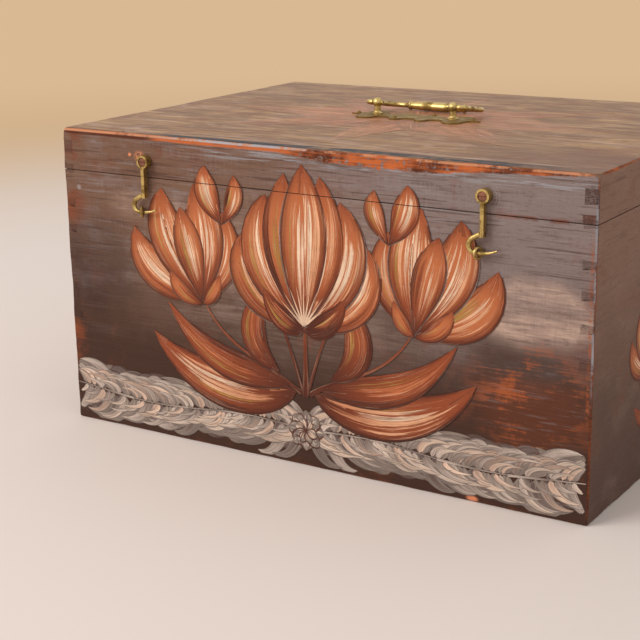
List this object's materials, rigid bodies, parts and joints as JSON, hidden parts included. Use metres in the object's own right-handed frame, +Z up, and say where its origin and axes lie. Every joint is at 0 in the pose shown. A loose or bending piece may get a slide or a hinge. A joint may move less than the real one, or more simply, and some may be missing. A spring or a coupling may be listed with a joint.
{
  "type": "wooden box",
  "caption": "Dovetailed wooden carrying box with a hinged lid, swinging hooks that drop into eyes, and a folding bail handle on top.",
  "frame": {"origin": "centre of the base, on the surface that the box stands on", "axes": "+X along the front to the right, +Y from the front to the back, +Z up"},
  "size_m": [0.48, 0.3705, 0.2717],
  "materials": {
    "painted_wood": "worn dark brush paint over red-brown wood",
    "bare_wood": "old unpainted wood",
    "old_brass": "aged brass with dark tarnish",
    "rusty_steel": "rusted steel"
  },
  "bodies": {
    "box": {"front_board": "painted_wood", "back_board": "painted_wood", "left_side_board": "painted_wood", "right_side_board": "painted_wood", "bottom_board": "bare_wood", "bottom_nails": "rusty_steel", "hinge_left_box_leaf": "old_brass", "hinge_right_box_leaf": "old_brass", "hinge_left_pin": "old_brass", "hinge_right_pin": "old_brass", "hinge_box_screws": "rusty_steel", "hook_left_eye": "old_brass", "hook_right_eye": "old_brass"},
    "lid": {"lid_front_rail": "painted_wood", "lid_back_rail": "painted_wood", "lid_left_rail": "painted_wood", "lid_right_rail": "painted_wood", "lid_top_board": "painted_wood", "lid_brads": "rusty_steel", "hinge_left_lid_leaf": "old_brass", "hinge_right_lid_leaf": "old_brass", "hinge_lid_screws": "rusty_steel", "hook_left_screw": "rusty_steel", "hook_right_screw": "rusty_steel", "handle_plate": "old_brass", "handle_plate_pins": "old_brass", "handle_left_post": "old_brass", "handle_right_post": "old_brass", "handle_post_washers": "old_brass", "handle_post_nuts": "old_brass"},
    "hook_left": {"hook_left": "old_brass"},
    "hook_right": {"hook_right": "old_brass"},
    "handle_bail": {"handle_bail": "old_brass"}
  },
  "joints": [
    {"name": "lid_hinge", "type": "hinge", "parent": "box", "child": "lid", "pos_m": [0, 0.1805, 0.221], "axis": [-1, 0, 0], "range_deg": [0, 185]},
    {"name": "hook_left_swing", "type": "hinge", "parent": "lid", "child": "hook_left", "pos_m": [-0.1501, -0.1826, 0.2344], "axis": [0, 1, 0], "range_deg": [0, 335]},
    {"name": "hook_right_swing", "type": "hinge", "parent": "lid", "child": "hook_right", "pos_m": [0.155, -0.1826, 0.2344], "axis": [0, 1, 0], "range_deg": [0, 335]},
    {"name": "handle_bail_swing", "type": "hinge", "parent": "lid", "child": "handle_bail", "pos_m": [0, 0, 0.2675], "axis": [1, 0, 0], "range_deg": [0, 199]}
  ]
}
